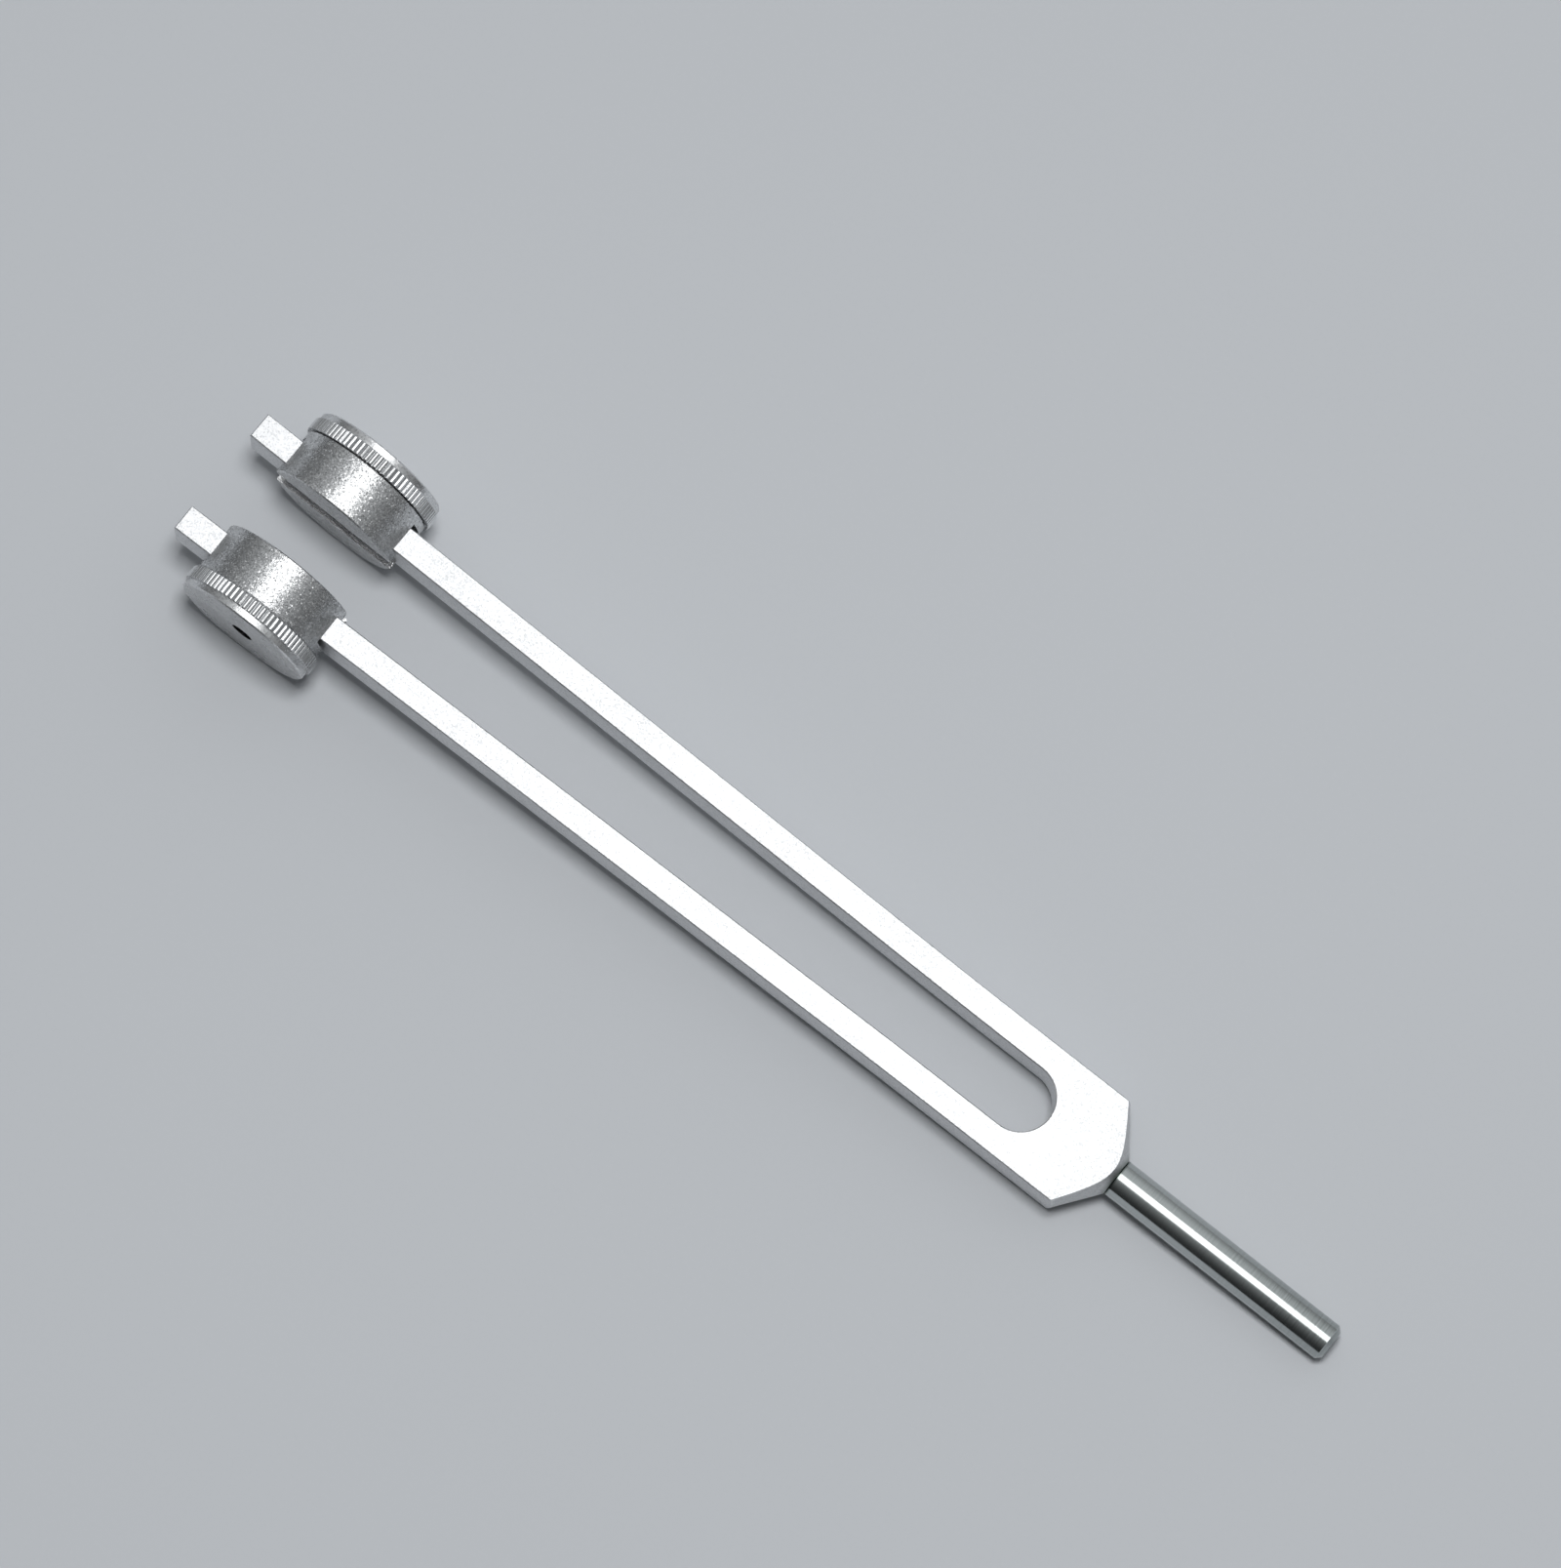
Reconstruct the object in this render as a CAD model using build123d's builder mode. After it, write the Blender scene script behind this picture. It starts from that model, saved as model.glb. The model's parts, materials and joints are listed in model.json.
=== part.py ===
from build123d import *
import math
import os

# Weighted tuning fork: a slotted bar with a round stem, and on each tine a round weight that
# slides and is clamped by a knurled knob. Millimetres. X runs from the stem's foot to the tips,
# Y across the two tines, Z through the bar's thickness. The origin is the centre of the stem's foot.

# bar and tines
bar_width = 25.0            # across both tines at the yoke
bar_depth = 11.0            # thickness of the bar, along Z
slot_width = 13.8           # gap between the tines at the yoke
slot_end_x = 69.8           # deepest point of the slot's round end
fork_length = 275.0         # stem's foot to the tine tips
splay_start_x = 82.0        # where the tines begin to bend apart
splay_deg = 0.68            # how far each tine ends up leaning outwards
splay_bend_radius = 2500.0  # gentle bend into the splay
edge_break = 0.2            # bevel along the bar's long edges

# turned shoulder that brings the bar down to the stem
shoulder_half_angle = 53.0
shoulder_end_x = 52.6       # face the stem seats against

# stem
stem_radius = 4.0
stem_end_chamfer = 1.0
stem_seat_chamfer = 0.2
seat_gap = 0.05
spigot_radius = 3.0
spigot_length = 11.0
spigot_clearance = 0.05

# weight barrel: a cylinder across the tine, with a T-slot through it
weight_x = 252.5
barrel_radius = 14.7
inner_wall = 2.0            # the T-slot's lips, on the side facing the other tine
outer_wall = 2.0            # threaded wall under the knob
barrel_chamfer = 0.25
slide_clearance = 0.05      # tine to the T-slot's lips
depth_clearance = 0.1       # tine to the T-slot above and below
clamp_room = 0.9            # space outside the tine that the screw closes
neck_half_height = 3.15     # half the height of the T-slot's open neck

# knob: knurled ring and plain lip, turned in one
knob_gap = 0.1              # between barrel and tightened knob
ring_radius = 15.35
ring_thickness = 2.9
ring_chamfer = 0.22
lip_radius = 14.8
lip_thickness = 1.6
lip_chamfer = 0.3
knurl_count = 84            # grooves round the ring, with round-shouldered flanks
knurl_mouth = 1.04          # groove width at the rim, which leaves a narrow crest
knurl_waist = 0.43          # groove width where its flanks get steeper
knurl_waist_depth = 0.12
knurl_floor = 0.1           # groove width at its bottom
knurl_depth = 0.25

# clamp screw fixed in the knob, and the tip pad it pushes
screw_radius = 2.25
screw_clearance = 0.05
screw_recess = 1.1          # how far the screw sits below the knob's face
screw_chamfer = 0.3
socket_flats = 2.5
socket_depth = 1.6
pad_radius = 2.2
pad_thickness = 0.7
pad_gap = 0.05

os.makedirs("parts", exist_ok=True)

half_width = bar_width / 2
half_depth = bar_depth / 2
half_slot = slot_width / 2
tine_width = half_width - half_slot
slot_centre_x = slot_end_x + half_slot
splay = math.radians(splay_deg)
shoulder_slope = math.tan(math.radians(shoulder_half_angle))
cone_end_x = fork_length + tine_width  # the shoulder's cone is carried on past the tips

# a tine's middle line after the bend: start of the straight run
bend_mid_radius = splay_bend_radius + tine_width / 2
tine_start_x = splay_start_x + bend_mid_radius * math.sin(splay)
tine_start_y = half_width - tine_width / 2 + bend_mid_radius * (1 - math.cos(splay))
straight_length = (fork_length - tine_start_x) / math.cos(splay)


def tine_profile(side):
    """Outline of one tine, from the slot's round end to the tip, on the side +1 or -1."""
    with BuildLine() as outline:
        lean = side * splay_deg
        outer = JernArc((splay_start_x, side * half_width), (1, 0), splay_bend_radius, lean)
        inner = JernArc((splay_start_x, side * half_slot), (1, 0), splay_bend_radius + tine_width, lean)
        outer_edge = PolarLine(outer @ 1, straight_length, direction=outer % 1)
        inner_edge = PolarLine(inner @ 1, straight_length, direction=inner % 1)
        Line(outer_edge @ 1, inner_edge @ 1)
        Polyline(inner @ 0, (slot_centre_x - half_slot, side * half_slot), (slot_centre_x - half_slot,
                 side * half_width), outer @ 0)
    return outline.line


# fork body: yoke and two tines, with the shoulder turned on the yoke
with BuildPart() as fork_body:
    with BuildSketch(Plane.XY.offset(-half_depth)):
        with Locations(((shoulder_end_x + splay_start_x) / 2, 0)):
            Rectangle(splay_start_x - shoulder_end_x, bar_width)
        for side in (1, -1):
            make_face(tine_profile(side))
        with Locations((slot_centre_x, 0)):
            Circle(half_slot, mode=Mode.SUBTRACT)
        with Locations(((slot_centre_x + splay_start_x) / 2, 0)):
            Rectangle(splay_start_x - slot_centre_x, slot_width, mode=Mode.SUBTRACT)
    extrude(amount=bar_depth)
    chamfer(fork_body.faces().filter_by(Axis.Z).edges(), edge_break)
    # the bar is turned down to a cone that opens from the stem's seat
    with BuildSketch(Plane.XY):
        with BuildLine():
            Polyline(
                (shoulder_end_x, 0),
                (shoulder_end_x, stem_radius),
                (cone_end_x, stem_radius + (cone_end_x - shoulder_end_x) * shoulder_slope),
                (cone_end_x, 0),
                close=True,
            )
        make_face()
    revolve(axis=Axis.X, mode=Mode.INTERSECT)
    with BuildSketch(Plane.YZ.offset(shoulder_end_x)):
        Circle(spigot_radius + spigot_clearance)
    extrude(amount=spigot_length + seat_gap, mode=Mode.SUBTRACT)
fork_body.part.label = "fork_body"
export_step(fork_body.part, "parts/fork_body.step")


# stem: plain round rod with a spigot that is fixed in the yoke
with BuildPart() as stem:
    with BuildSketch(Plane.YZ):
        Circle(stem_radius)
    extrude(amount=shoulder_end_x - seat_gap)
    chamfer(stem.edges().group_by(Axis.X)[0], stem_end_chamfer)
    chamfer(stem.edges().group_by(Axis.X)[-1], stem_seat_chamfer)
    with BuildSketch(Plane.YZ.offset(shoulder_end_x - seat_gap)):
        Circle(spigot_radius)
    extrude(amount=spigot_length)
stem.part.label = "stem"
export_step(stem.part, "parts/stem.step")


# levels along a weight's axis, measured outwards from the tine's middle line
half_tine = tine_width / 2
lips_level = -half_tine - slide_clearance
barrel_inner_level = lips_level - inner_wall
window_level = half_tine + clamp_room
barrel_outer_level = window_level + outer_wall
knob_level = barrel_outer_level + knob_gap
lip_level = knob_level + ring_thickness
face_level = lip_level + lip_thickness
pad_level = half_tine + pad_gap
screw_level = pad_level + pad_thickness + pad_gap
screw_end_level = face_level - screw_recess

slot_cut_length = 2 * barrel_radius + barrel_chamfer  # cuts right across a barrel
weight_y = tine_start_y + (weight_x - tine_start_x) * math.tan(splay)


def weight_plane(side, level):
    """Plane square to a weight's axis, level mm outside the tine's middle line."""
    outward = Vector(-math.sin(splay), side * math.cos(splay), 0)
    along_tine = Vector(math.cos(splay), side * math.sin(splay), 0)
    return Plane(origin=Vector(weight_x, side * weight_y, 0) + outward * level,
                 x_dir=along_tine, z_dir=outward)


def build_barrel(side):
    with BuildPart() as barrel:
        with BuildSketch(weight_plane(side, barrel_inner_level)):
            Circle(barrel_radius)
        extrude(amount=barrel_outer_level - barrel_inner_level)
        chamfer(barrel.edges().filter_by(GeomType.CIRCLE), barrel_chamfer)
        with BuildSketch(weight_plane(side, barrel_inner_level)):
            Rectangle(slot_cut_length, 2 * neck_half_height)
        extrude(amount=inner_wall, mode=Mode.SUBTRACT)
        with BuildSketch(weight_plane(side, lips_level)):
            Rectangle(slot_cut_length, bar_depth + 2 * depth_clearance)
        extrude(amount=window_level - lips_level, mode=Mode.SUBTRACT)
        with BuildSketch(weight_plane(side, window_level)):
            Circle(screw_radius + screw_clearance)
        extrude(amount=outer_wall, mode=Mode.SUBTRACT)
    return barrel.part


def build_knob(side):
    with BuildPart() as knob:
        with BuildSketch(weight_plane(side, knob_level)):
            Circle(ring_radius)
        extrude(amount=ring_thickness)
        chamfer(knob.edges().filter_by(GeomType.CIRCLE), ring_chamfer)
        with BuildSketch(weight_plane(side, knob_level)):
            with PolarLocations(ring_radius - knurl_depth, knurl_count):
                Polygon(
                    (0, -knurl_floor / 2),
                    (knurl_depth - knurl_waist_depth, -knurl_waist / 2),
                    (knurl_depth, -knurl_mouth / 2),
                    (2 * knurl_depth, -knurl_mouth / 2),
                    (2 * knurl_depth, knurl_mouth / 2),
                    (knurl_depth, knurl_mouth / 2),
                    (knurl_depth - knurl_waist_depth, knurl_waist / 2),
                    (0, knurl_floor / 2),
                    align=None,
                )
        extrude(amount=ring_thickness, mode=Mode.SUBTRACT)
        with BuildSketch(weight_plane(side, lip_level)):
            Circle(lip_radius)
        extrude(amount=lip_thickness)
        outer_rim = knob.edges().filter_by(GeomType.CIRCLE).sort_by(lambda edge: abs(edge.center().Y))[-1]
        chamfer(outer_rim, lip_chamfer)
        with BuildSketch(weight_plane(side, knob_level)):
            Circle(screw_radius + screw_clearance)
        extrude(amount=ring_thickness + lip_thickness, mode=Mode.SUBTRACT)
    return knob.part


def build_screw(side):
    with BuildPart() as screw:
        with BuildSketch(weight_plane(side, screw_level)):
            Circle(screw_radius)
        extrude(amount=screw_end_level - screw_level)
        chamfer(screw.edges().filter_by(GeomType.CIRCLE), screw_chamfer)
        with BuildSketch(weight_plane(side, screw_end_level)):
            RegularPolygon(socket_flats / 2, 6, major_radius=False)
        extrude(amount=-socket_depth, mode=Mode.SUBTRACT)
    return screw.part


def build_pad(side):
    with BuildPart() as pad:
        with BuildSketch(weight_plane(side, pad_level)):
            Circle(pad_radius)
        extrude(amount=pad_thickness)
    return pad.part


# one weight on each tine
builders = {"barrel": build_barrel, "knob": build_knob, "screw": build_screw, "pad": build_pad}
for side_name, side in (("left", 1), ("right", -1)):
    for piece_name, build_piece in builders.items():
        piece = build_piece(side)
        piece.label = f"{side_name}_{piece_name}"
        export_step(piece, f"parts/{piece.label}.step")
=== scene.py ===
import json
import math
import bpy
from mathutils import Matrix, Vector


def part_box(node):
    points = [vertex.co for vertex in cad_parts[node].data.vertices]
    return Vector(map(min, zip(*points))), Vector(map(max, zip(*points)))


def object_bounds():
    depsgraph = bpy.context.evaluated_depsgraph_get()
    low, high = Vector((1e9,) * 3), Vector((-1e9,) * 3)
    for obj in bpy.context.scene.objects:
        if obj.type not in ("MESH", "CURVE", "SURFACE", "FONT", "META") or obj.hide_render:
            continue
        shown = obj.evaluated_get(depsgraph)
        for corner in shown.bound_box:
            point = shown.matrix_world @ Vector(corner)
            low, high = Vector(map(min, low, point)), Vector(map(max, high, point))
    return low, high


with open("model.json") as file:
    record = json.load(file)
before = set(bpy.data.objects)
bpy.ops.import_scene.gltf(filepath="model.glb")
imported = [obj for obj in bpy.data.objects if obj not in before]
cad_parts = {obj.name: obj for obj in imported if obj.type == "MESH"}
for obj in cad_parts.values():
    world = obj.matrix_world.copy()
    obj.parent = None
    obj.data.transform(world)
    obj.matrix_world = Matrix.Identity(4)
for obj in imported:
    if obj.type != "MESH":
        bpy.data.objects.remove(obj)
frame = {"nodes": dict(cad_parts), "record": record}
cad_low, cad_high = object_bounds()
nodes = frame["nodes"]
joints = {joint["name"]: joint for joint in frame["record"]["behaviour"]["joints"]}
fork_low, fork_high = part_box("fork_body")
stem_low, stem_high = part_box("stem")
barrel_low, barrel_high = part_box("left_barrel")
knob_low, knob_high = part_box("left_knob")
screw_low, screw_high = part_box("left_screw")

# ---------------------------------------------------------------- sizes that the looks follow, in metres
SEAT_X = fork_low[0]                 # where the stem enters the yoke
SHOULDER_END_X = SEAT_X + 0.0064     # where the turned shoulder meets the bar's sides
HALF_DEPTH = fork_high[2]            # from the fork's middle plane to the bar's upper face
STEM_CHAMFER = 0.001
BARREL_RADIUS = (barrel_high[2] - barrel_low[2]) / 2
NECK_HALF = 0.00315                  # half the height of the T-slot's open neck
RIM_RADIUS = (knob_high[2] - knob_low[2]) / 2
KNURL_ROOT = RIM_RADIUS - 0.00023    # just above the bottom of the knurl's grooves
BORE_RADIUS = (screw_high[2] - screw_low[2]) / 2 + 0.0001  # just outside the knob's bore

# how bright a skin stays at shallow angles; bare metal is 1
BLASTED_GRAZING = 0.78
FORK_GRAZING = 0.93


# ---------------------------------------------------------------- node helpers
class Tree:
    """A node tree, with short calls for the nodes used here."""

    def __init__(self, tree):
        self.tree = tree

    def node(self, kind, inputs, **settings):
        """A node with these settings; each input is linked to an output or set to a plain value."""
        node = self.tree.nodes.new(kind)
        for name, value in settings.items():
            setattr(node, name, value)
        for name, value in inputs.items():
            if isinstance(value, bpy.types.NodeSocket):
                self.tree.links.new(value, node.inputs[name])
            else:
                node.inputs[name].default_value = value
        return node

    def maths(self, operation, *values):
        return self.node("ShaderNodeMath", dict(enumerate(values)), operation=operation).outputs[0]

    def vector_maths(self, operation, *values):
        return self.node("ShaderNodeVectorMath", dict(enumerate(values)), operation=operation).outputs[0]

    def split(self, vector):
        """A vector's X, Y and Z."""
        return self.node("ShaderNodeSeparateXYZ", {0: vector}).outputs

    def spread(self, value, low, high, to_low, to_high, smooth=False):
        """Goes from to_low to to_high as the value goes from low to high, and holds beyond them."""
        inputs = {"Value": value, "From Min": low, "From Max": high, "To Min": to_low, "To Max": to_high}
        shape = "SMOOTHSTEP" if smooth else "LINEAR"
        return self.node("ShaderNodeMapRange", inputs, interpolation_type=shape).outputs["Result"]

    def between(self, noise, to_low, to_high):
        """Goes from to_low to to_high as a noise goes through its usual values."""
        return self.spread(noise, 0.3, 0.7, to_low, to_high)

    def mix(self, factor, a, b):
        """Colour a where the factor is 0 and colour b where it is 1."""
        a, b = [value if isinstance(value, bpy.types.NodeSocket) else (*value, 1.0) for value in (a, b)]
        return self.node("ShaderNodeMix", {0: factor, 6: a, 7: b}, data_type="RGBA").outputs[2]

    def object_coords(self, origin=(0, 0, 0), turn_z=0.0):
        """The piece's own coordinates, moved so that origin is zero and turned about Z."""
        coords = self.node("ShaderNodeTexCoord", {}).outputs["Object"]
        inputs = {"Vector": self.vector_maths("SUBTRACT", coords, origin), "Angle": -turn_z}
        return self.node("ShaderNodeVectorRotate", inputs, rotation_type="Z_AXIS").outputs[0]

    def weight_coords(self, side):
        """Coordinates centred on a weight with Y along its axis, and the distance from that axis."""
        joint = joints[f"{side}_knob_turn"]
        axis = Vector(joint["axis"])
        at = self.object_coords(joint["pos_m"], math.atan2(axis.y, axis.x) - math.pi / 2)
        parts = self.split(at)
        squares = [self.maths("MULTIPLY", parts[name], parts[name]) for name in ("X", "Z")]
        return at, self.maths("SQRT", self.maths("ADD", *squares))

    def noise(self, vector, scale, detail=3.0, rough=0.5):
        inputs = {"Vector": vector, "Scale": scale, "Detail": detail, "Roughness": rough}
        return self.node("ShaderNodeTexNoise", inputs).outputs["Fac"]

    def streaks(self, vector, scales, detail=2.0, rough=0.5):
        """Noise with its own scale along each axis, for the marks that a tool leaves."""
        return self.noise(self.vector_maths("MULTIPLY", vector, scales), 1.0, detail, rough)

    def cells(self, vector, scale):
        return self.node("ShaderNodeTexVoronoi", {"Vector": vector, "Scale": scale}, feature="F1").outputs

    def random_cells(self, vector, scale):
        """A grain of small cells, each with its own random value from 0 to 1."""
        return self.node("ShaderNodeSeparateColor", {0: self.cells(vector, scale)["Color"]}).outputs["Red"]

    def sparkle(self, vector, scale, tilt, normal, where):
        """The normal broken into small facets that each lean their own way, most of them a little."""
        cells = self.cells(vector, scale)
        lean = self.vector_maths("SUBTRACT", cells["Color"], (0.5, 0.5, 0.5))
        chance = self.node("ShaderNodeTexWhiteNoise", {"Vector": cells["Position"]}, noise_dimensions="3D")
        lean_size = self.maths("MULTIPLY", self.maths("POWER", chance.outputs["Value"], 2.0), tilt)
        inputs = {0: lean, "Scale": self.maths("MULTIPLY", lean_size, where)}
        offset = self.node("ShaderNodeVectorMath", inputs, operation="SCALE").outputs[0]
        return self.vector_maths("NORMALIZE", self.vector_maths("ADD", normal, offset))

    def edge_mask(self, radius):
        """1 along sharp edges, 0 on flat faces."""
        rounded = self.node("ShaderNodeBevel", {"Radius": radius}, samples=6).outputs[0]
        flat = self.node("ShaderNodeNewGeometry", {}).outputs["Normal"]
        dot = self.node("ShaderNodeVectorMath", {0: rounded, 1: flat}, operation="DOT_PRODUCT")
        cosine = dot.outputs["Value"]
        return self.spread(cosine, 0.98, 0.75, 0.0, 1.0, smooth=True)

    def bump(self, height, distance, strength):
        inputs = {"Height": height, "Distance": distance, "Strength": strength}
        return self.node("ShaderNodeBump", inputs).outputs[0]


class Material(Tree):
    """A new material's node tree, which ends in one shader."""

    def __init__(self, name):
        self.material = bpy.data.materials.new(name)
        self.material.use_nodes = True
        super().__init__(self.material.node_tree)
        self.tree.nodes.clear()

    def shade(self, inputs):
        """Ends the tree in one shader with these inputs, and gives back the material."""
        shader = self.node("ShaderNodeBsdfPrincipled", inputs)
        self.node("ShaderNodeOutputMaterial", {"Surface": shader.outputs[0]})
        return self.material

    def metal(self, colour, roughness, normal, grazing=1.0):
        """Metal; grazing under 1 dulls it at shallow angles, as a blasted skin does."""
        return self.shade({
            "Base Color": colour,
            "Metallic": 1.0,
            "Roughness": roughness,
            "Specular Tint": (grazing, grazing, grazing, 1.0),
            "Normal": normal,
        })


# ---------------------------------------------------------------- materials
def fork_satin():
    """Fine bead-blasted, clear anodised aluminium: very pale, with a tight speckle."""
    pale, palest = (0.735, 0.74, 0.75), (0.775, 0.78, 0.79)
    speck, worn_edge = (0.50, 0.51, 0.52), (0.60, 0.61, 0.62)
    # the last pair is painted shade: on the shoulder's cone, and darker round the stem
    turned, painted_shade = (0.47, 0.475, 0.475), (0.22, 0.25, 0.23)
    t = Material("fork_satin_aluminium")
    at = t.object_coords()
    place = t.split(at)
    speckle = t.random_cells(at, 3600.0)
    grain = t.noise(at, 4200.0, detail=2.0, rough=0.6)
    cloud = t.noise(at, 60.0)
    colour = t.mix(t.between(cloud, 0.0, 1.0), pale, palest)
    colour = t.mix(t.spread(speckle, 0.5, 1.0, 0.0, 0.8), colour, speck)
    colour = t.mix(t.maths("MULTIPLY", t.edge_mask(0.00025), 0.45), colour, worn_edge)
    # painted shade: the shoulder's turned cone is painted darker than the bar's upper and lower faces
    ahead = t.spread(place["X"], SHOULDER_END_X - 0.0002, SHOULDER_END_X, 0.35, 0.0)
    height = t.maths("ABSOLUTE", place["Z"])
    below_face = t.spread(height, HALF_DEPTH - 0.0003, HALF_DEPTH - 0.0002, 1.0, 0.0)
    colour = t.mix(t.maths("MULTIPLY", ahead, below_face), colour, turned)
    # painted shade on the end of the shoulder round the stem, with a green tint
    colour = t.mix(t.spread(place["X"], SEAT_X, SEAT_X + 0.0011, 0.6, 0.0, smooth=True), colour, painted_shade)
    rough = t.maths("ADD", t.between(grain, 0.36, 0.44), t.between(cloud, -0.02, 0.03))
    return t.metal(colour, rough, t.bump(grain, 0.000035, 0.6), FORK_GRAZING)


def stem_polished():
    """Turned and polished steel rod: fine rings round it, clearer towards the foot."""
    bright, ring_dark, smeared = (0.53, 0.56, 0.555), (0.30, 0.325, 0.32), (0.42, 0.45, 0.44)
    worn_edge, painted_joint_shade = (0.62, 0.64, 0.64), (0.055, 0.085, 0.065)
    t = Material("stem_polished_steel")
    at = t.object_coords()
    along = t.split(at)["X"]
    rings = t.streaks(at, (2300.0, 0.0, 0.0), detail=3.0, rough=0.65)
    waves = t.streaks(at, (620.0, 0.0, 0.0), detail=1.0)
    smear = t.streaks(at, (90.0, 260.0, 260.0), detail=3.0)
    near_foot = t.spread(along, 0.0, 0.04, 1.0, 0.35, smooth=True)
    edge = t.edge_mask(0.0003)
    colour = t.mix(t.maths("MULTIPLY", t.between(rings, 0.0, 1.0), near_foot), bright, ring_dark)
    colour = t.mix(t.spread(smear, 0.4, 0.75, 0.0, 0.4), colour, smeared)
    colour = t.mix(t.maths("MULTIPLY", edge, 0.4), colour, worn_edge)
    # painted shade on the stem where it meets the yoke, dark with a green tint
    joint_shade_mask = t.spread(along, SEAT_X - 0.0007, SEAT_X - 0.0001, 0.0, 0.85, smooth=True)
    colour = t.mix(joint_shade_mask, colour, painted_joint_shade)
    rough = t.maths("ADD", t.between(smear, 0.12, 0.18), t.maths("MULTIPLY", edge, 0.1))
    height = t.maths("ADD", t.maths("MULTIPLY", rings, near_foot), t.maths("MULTIPLY", waves, 0.5))
    return t.metal(colour, rough, t.bump(height, 0.000012, 0.7))


def weight_blasted(side):
    """Coarser blasted aluminium with a sparkle; the T-slot carries painted shade with milling streaks in
    it, and painted glints along its edges.
    """
    grey, pale_grey = (0.62, 0.625, 0.63), (0.69, 0.695, 0.70)
    dark_speck, bright_speck, worn_edge = (0.36, 0.365, 0.37), (0.98, 0.985, 0.99), (0.50, 0.51, 0.52)
    slot_shade_dark, slot_shade_pale = (0.42, 0.42, 0.425), (0.58, 0.58, 0.585)
    t = Material(f"{side}_weight_blasted_aluminium")
    at, radius = t.weight_coords(side)
    speckle = t.random_cells(at, 3000.0)
    grit = t.noise(at, 2300.0, rough=0.65)
    cloud = t.noise(at, 160.0)
    milling = t.streaks(at, (300.0, 2500.0, 2500.0))
    edge = t.edge_mask(0.0003)
    height = t.maths("ABSOLUTE", t.split(at)["Z"])
    low_enough = t.spread(height, NECK_HALF, NECK_HALF + 0.00005, 1.0, 0.0)
    inside = t.spread(radius, BARREL_RADIUS - 0.0014, BARREL_RADIUS - 0.0012, 1.0, 0.0)
    slot = t.maths("MULTIPLY", low_enough, inside)
    colour = t.mix(t.between(cloud, 0.0, 1.0), grey, pale_grey)
    colour = t.mix(t.spread(speckle, 0.0, 0.4, 0.7, 0.0), colour, dark_speck)
    colour = t.mix(t.spread(speckle, 0.8, 1.0, 0.0, 0.9), colour, bright_speck)
    colour = t.mix(t.maths("MULTIPLY", edge, 0.5), colour, worn_edge)
    # painted shade in the T-slot, streaked along the milling
    colour = t.mix(slot, colour, t.mix(t.spread(milling, 0.35, 0.65, 0.0, 1.0), slot_shade_dark, slot_shade_pale))
    # painted glints: near-white flecks along the T-slot's edges
    slot_edge = t.maths("MULTIPLY", slot, edge)
    slot_edge_glint = t.maths("MULTIPLY", slot_edge, t.spread(grit, 0.5, 0.65, 0.0, 0.5))
    colour = t.mix(slot_edge_glint, colour, bright_speck)
    rough = t.spread(speckle, 0.0, 1.0, 0.28, 0.20)
    normal = t.sparkle(at, 4300.0, 0.54, t.bump(grit, 0.00007, 0.8), t.maths("SUBTRACT", 1.0, slot))
    return t.metal(colour, rough, normal, BLASTED_GRAZING)


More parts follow.
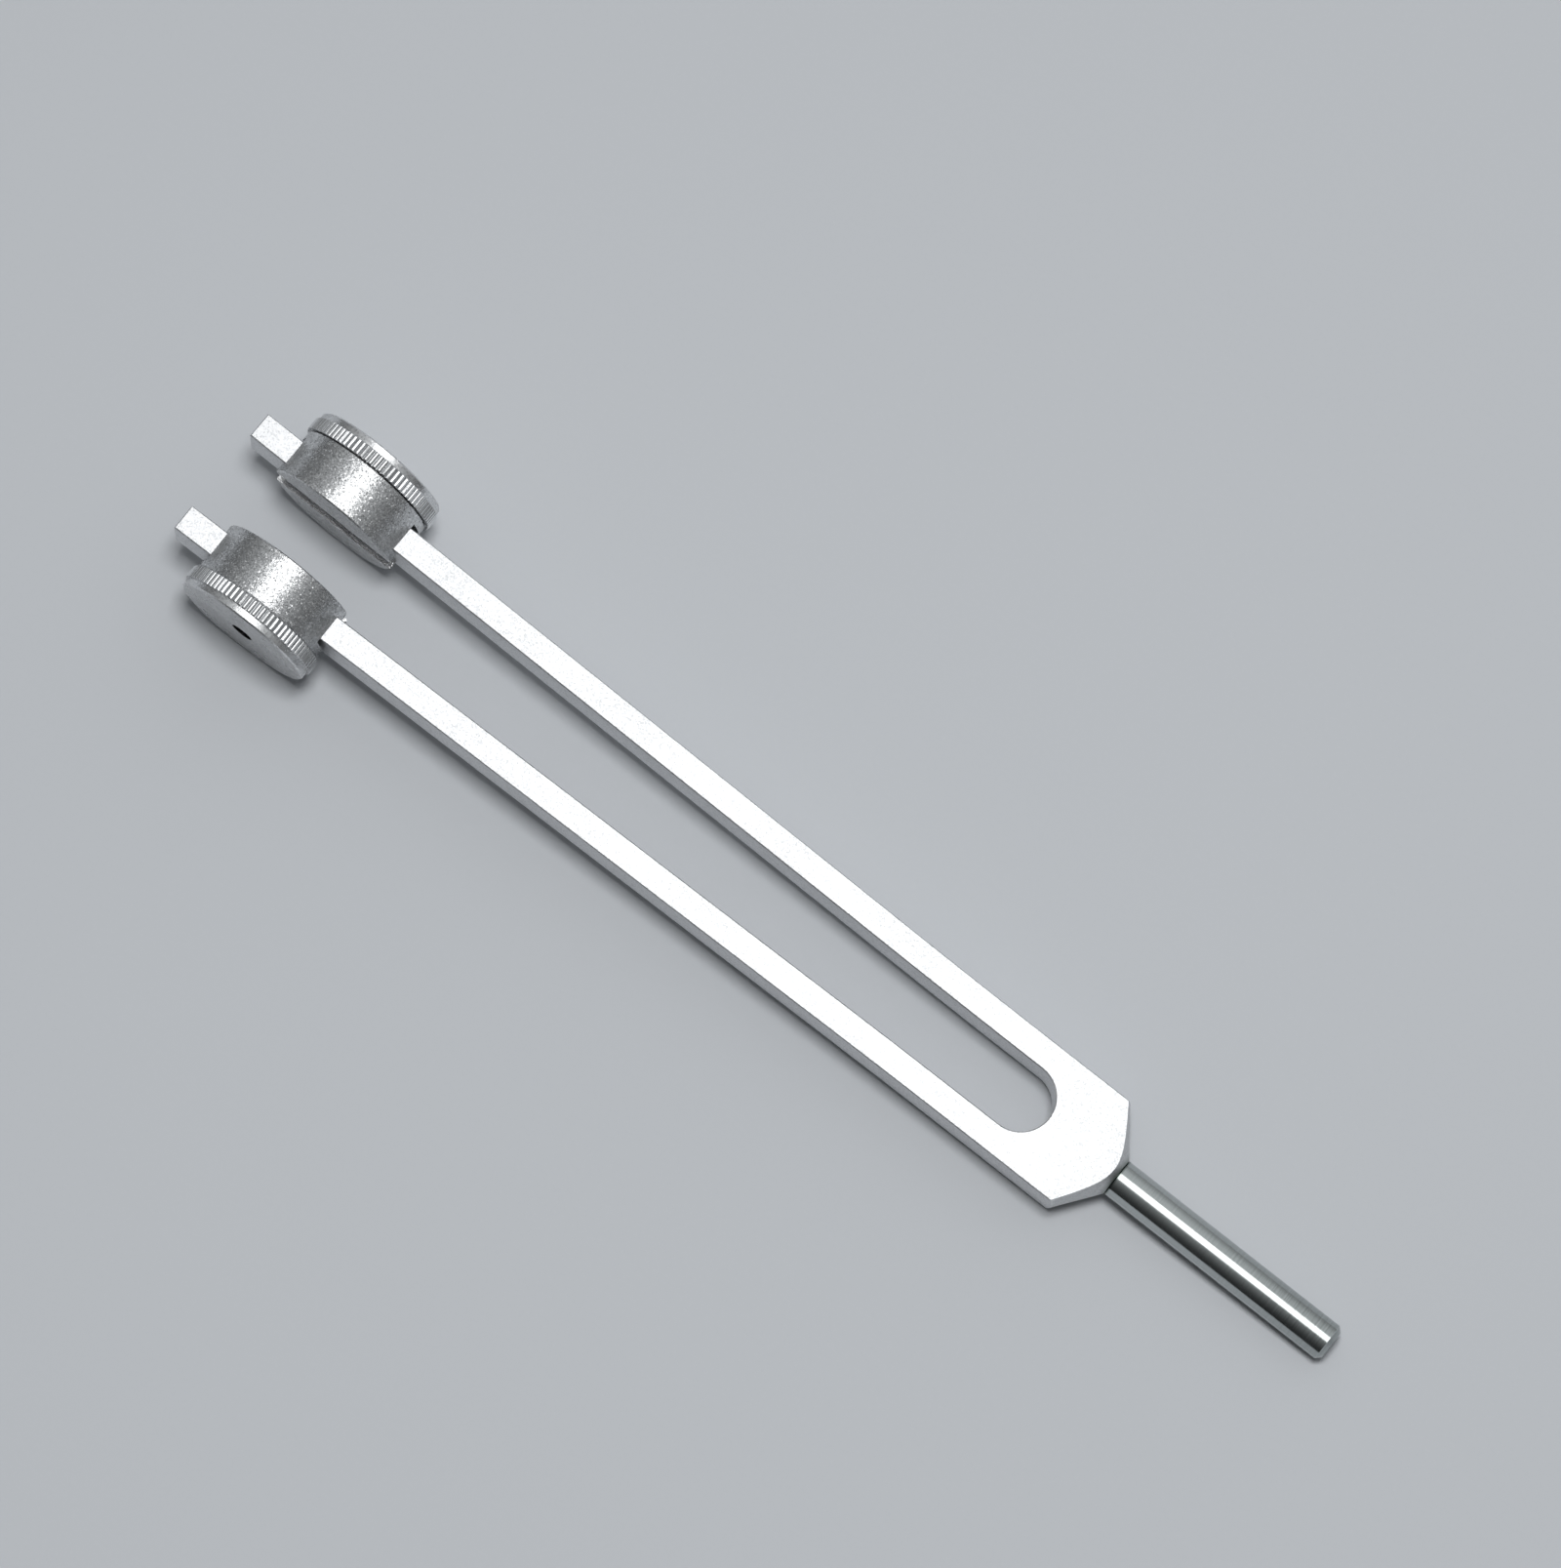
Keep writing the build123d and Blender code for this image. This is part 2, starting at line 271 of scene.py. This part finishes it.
def knob_satin(side):
    """Blasted aluminium with fine turning rings on its face, and a knurl with painted shade in its groove
    roots and a painted highlight along its crests.
    """
    pale, palest, ring_grey = (0.75, 0.755, 0.76), (0.82, 0.825, 0.83), (0.58, 0.585, 0.59)
    dark_speck, bright_speck, bright_edge = (0.48, 0.485, 0.49), (0.97, 0.975, 0.98), (0.96, 0.965, 0.97)
    knurl_root_shade, knurl_crest_highlight, bore_shade = (0.44, 0.45, 0.46), (0.90, 0.905, 0.91), (0.06, 0.06, 0.065)
    t = Material(f"{side}_knob_satin_aluminium")
    at, radius = t.weight_coords(side)
    outwards = t.node("ShaderNodeCombineXYZ", {0: radius}).outputs[0]
    turned = t.streaks(outwards, (4200.0, 0.0, 0.0), rough=0.6)
    speckle = t.random_cells(at, 3200.0)
    grit = t.noise(at, 2600.0, rough=0.6)
    cloud = t.noise(at, 140.0)
    in_knurl = t.spread(radius, KNURL_ROOT - 0.00008, KNURL_ROOT - 0.00002, 0.0, 1.0)
    crest = t.spread(radius, KNURL_ROOT, RIM_RADIUS, 0.0, 1.0)
    bore = t.spread(radius, BORE_RADIUS, BORE_RADIUS + 0.0001, 1.0, 0.0)
    on_face = t.spread(radius, BARREL_RADIUS - 0.0003, BARREL_RADIUS - 0.0001, 1.0, 0.0)
    colour = t.mix(t.between(cloud, 0.0, 1.0), pale, palest)
    face_rings = t.maths("MULTIPLY", on_face, t.spread(turned, 0.35, 0.7, 0.0, 0.4))
    colour = t.mix(face_rings, colour, ring_grey)
    colour = t.mix(t.spread(speckle, 0.0, 0.45, 0.75, 0.0), colour, dark_speck)
    colour = t.mix(t.spread(speckle, 0.85, 1.0, 0.0, 0.8), colour, bright_speck)
    # the knurl's colour: painted shade at the groove roots, a painted highlight at the crests
    colour = t.mix(in_knurl, colour, t.mix(crest, knurl_root_shade, knurl_crest_highlight))
    # painted shade inside the knob's bore
    colour = t.mix(bore, colour, bore_shade)
    colour = t.mix(t.maths("MULTIPLY", t.edge_mask(0.00025), 0.2), colour, bright_edge)
    rough = t.maths("ADD", t.spread(in_knurl, 0.0, 1.0, 0.27, 0.25), t.between(cloud, -0.02, 0.03))
    face_height = t.maths("MULTIPLY", turned, t.maths("MULTIPLY", on_face, 0.4))
    grit_height = t.maths("MULTIPLY", grit, t.spread(in_knurl, 0.0, 1.0, 0.9, 0.6))
    normal = t.bump(t.maths("ADD", face_height, grit_height), 0.00006, 0.8)
    return t.metal(colour, rough, normal, BLASTED_GRAZING)


def screw_steel(side):
    """Dark oiled steel with faint turning lines."""
    dark, less_dark, worn_edge = (0.12, 0.12, 0.125), (0.18, 0.18, 0.185), (0.32, 0.32, 0.33)
    t = Material(f"{side}_screw_dark_steel")
    at, _ = t.weight_coords(side)
    lines = t.streaks(at, (400.0, 5200.0, 400.0))
    cloud = t.noise(at, 600.0)
    colour = t.mix(t.between(cloud, 0.0, 1.0), dark, less_dark)
    colour = t.mix(t.maths("MULTIPLY", t.edge_mask(0.0002), 0.7), colour, worn_edge)
    return t.metal(colour, t.between(cloud, 0.28, 0.42), t.bump(lines, 0.00003, 0.5))


def pad_brass(side):
    """Plain turned brass."""
    brass, pale_brass, worn_edge = (0.72, 0.50, 0.20), (0.82, 0.60, 0.28), (0.9, 0.7, 0.4)
    t = Material(f"{side}_pad_brass")
    at, _ = t.weight_coords(side)
    lines = t.streaks(at, (900.0, 300.0, 900.0))
    colour = t.mix(t.between(lines, 0.0, 1.0), brass, pale_brass)
    colour = t.mix(t.maths("MULTIPLY", t.edge_mask(0.0001), 0.5), colour, worn_edge)
    return t.metal(colour, t.between(lines, 0.25, 0.36), t.bump(lines, 0.00002, 0.4))


def table_paper():
    """Plain matt grey with a barely visible fibre."""
    grey, pale_grey = (0.398, 0.413, 0.433), (0.402, 0.417, 0.437)
    t = Material("table_paper")
    fibre = t.noise(t.object_coords(), 900.0)
    return t.shade({
        "Base Color": t.mix(t.between(fibre, 0.0, 1.0), grey, pale_grey),
        "Roughness": 0.9,
        "Specular IOR Level": 0.15,
        "Normal": t.bump(fibre, 0.00002, 0.3),
    })


def repaint(node_name, material):
    """Gives a piece this material in place of the one it came with."""
    mesh = nodes[node_name].data
    mesh.materials.clear()
    mesh.materials.append(material)


repaint("fork_body", fork_satin())
repaint("stem", stem_polished())
for side in ("left", "right"):
    repaint(f"{side}_barrel", weight_blasted(side))
    repaint(f"{side}_knob", knob_satin(side))
    repaint(f"{side}_screw", screw_steel(side))
    repaint(f"{side}_pad", pad_brass(side))


# ---------------------------------------------------------------- table under the fork
TABLE_HALF = 6.0  # half the table's side, in metres


def make_table():
    """The fork lies on the rims of both knobs and on the foot of its stem."""
    rim_x = (knob_low[0] + knob_high[0]) / 2
    foot_x = stem_low[0] + STEM_CHAMFER
    foot_z = stem_low[2]
    # slope of the line through the stem's lowest point that touches the rim's circle from below
    reach, rise = rim_x - foot_x, -foot_z
    slope = math.asin(RIM_RADIUS / math.hypot(reach, rise)) - math.atan2(rise, reach)
    corners = [(x * TABLE_HALF, y * TABLE_HALF, 0) for x, y in ((-1, -1), (1, -1), (1, 1), (-1, 1))]
    mesh = bpy.data.meshes.new("table")
    mesh.from_pydata(corners, [], [(0, 1, 2, 3)])
    mesh.materials.append(table_paper())
    table = bpy.data.objects.new("table", mesh)
    bpy.context.scene.collection.objects.link(table)
    table.matrix_world = Matrix.Translation((foot_x, 0, foot_z)) @ Matrix.Rotation(slope, 4, "Y")


make_table()


# ---------------------------------------------------------------- light
middle = Vector(((cad_low[0] + cad_high[0]) / 2, 0, 0))
above = middle + Vector((0.04, -0.10, 1.6))
SET_BACK = Vector((0, 0, 0.03))
MIRRORED_SHIFT = Vector((0.01, 0, 0))
LOW_CARD_PLACE = Vector((1.88, 0, 0.68))  # before it is turned about Z to its corner
CORNER_ANGLES = (45, 135, 225, 315)
# the room's brightness, and how it changes along Y, along X and upwards
LEVEL, SIDE_FALL, TIP_RISE, CEILING_RISE = 0.112, 0.31, 1.12, 3.2
ROOM_TINT = (0.97, 1.0, 1.02)


def area_light(name, place, width, height, power):
    """A rectangular light that faces the middle of the fork."""
    data = bpy.data.lights.new(name, "AREA")
    data.shape = "RECTANGLE"
    data.size, data.size_y, data.energy = width, height, power
    light = bpy.data.objects.new(name, data)
    bpy.context.scene.collection.objects.link(light)
    facing = (place - middle).to_track_quat("Z", "Y").to_matrix().to_4x4()
    light.matrix_world = Matrix.Translation(place) @ facing
    return light


def set_world():
    """A dim studio: lighter beyond the right-hand tine, darkest beyond the left-hand one."""
    world = bpy.data.worlds.new("studio")
    bpy.context.scene.world = world
    world.use_nodes = True
    t = Tree(world.node_tree)
    towards = t.split(t.node("ShaderNodeTexCoord", {}).outputs["Generated"])
    across = t.maths("POWER", SIDE_FALL, towards["Y"])
    along = t.maths("POWER", TIP_RISE, towards["X"])
    height = t.maths("MAXIMUM", towards["Z"], 0.0)
    upward = t.maths("MULTIPLY_ADD", t.maths("POWER", height, 2.0), CEILING_RISE, 1.0)
    strength = t.maths("MULTIPLY", t.maths("MULTIPLY", across, along), upward)
    background = world.node_tree.nodes["Background"]
    world.node_tree.links.new(strength, background.inputs["Strength"])
    background.inputs["Color"].default_value = (*[LEVEL * part for part in ROOM_TINT], 1)


# One softbox overhead, in two halves: what it does to the table, and how the metal mirrors it.
# The first stands a little further back, so that it never hides the second from a reflection.
softbox = area_light("softbox_on_table", above + SET_BACK, width=0.38, height=0.38, power=23.3)
softbox.visible_glossy = False
card = area_light("softbox_in_reflections", above + MIRRORED_SHIFT, width=0.87, height=0.85, power=6.05)
card.visible_diffuse = False
# Four low cards at the corners of the studio, seen only in the metal.
for angle in CORNER_ANGLES:
    towards = Matrix.Rotation(math.radians(angle), 3, "Z") @ LOW_CARD_PLACE
    low_card = area_light(f"low_card_{angle}", middle + towards, width=1.1, height=0.65, power=2.0)
    low_card.visible_diffuse = False
    low_card.visible_camera = False
set_world()


# ---------------------------------------------------------------- camera
CAMERA_PLACE = Vector((0.01663, 0.25873, 1.58913))
VIEW_DIRECTION = Vector((0.08329, -0.17231, -0.98151))
VIEW_UP = Vector((0.61355, -0.76725, 0.18676))

camera_data = bpy.data.cameras.new("camera")
camera_data.sensor_width = 36.0
camera_data.sensor_fit = "HORIZONTAL"
camera_data.lens = 191.25
camera_data.clip_end = 20.0
camera = bpy.data.objects.new("camera", camera_data)
bpy.context.scene.collection.objects.link(camera)
bpy.context.scene.camera = camera
forward = VIEW_DIRECTION.normalized()
right = forward.cross(VIEW_UP).normalized()
up = right.cross(forward).normalized()
turn = Matrix((right, up, -forward)).transposed().to_4x4()
camera.matrix_world = Matrix.Translation(CAMERA_PLACE) @ turn

scene = bpy.context.scene
scene.view_settings.view_transform = "Standard"
scene.view_settings.look = "None"
scene.view_settings.exposure = 0.0
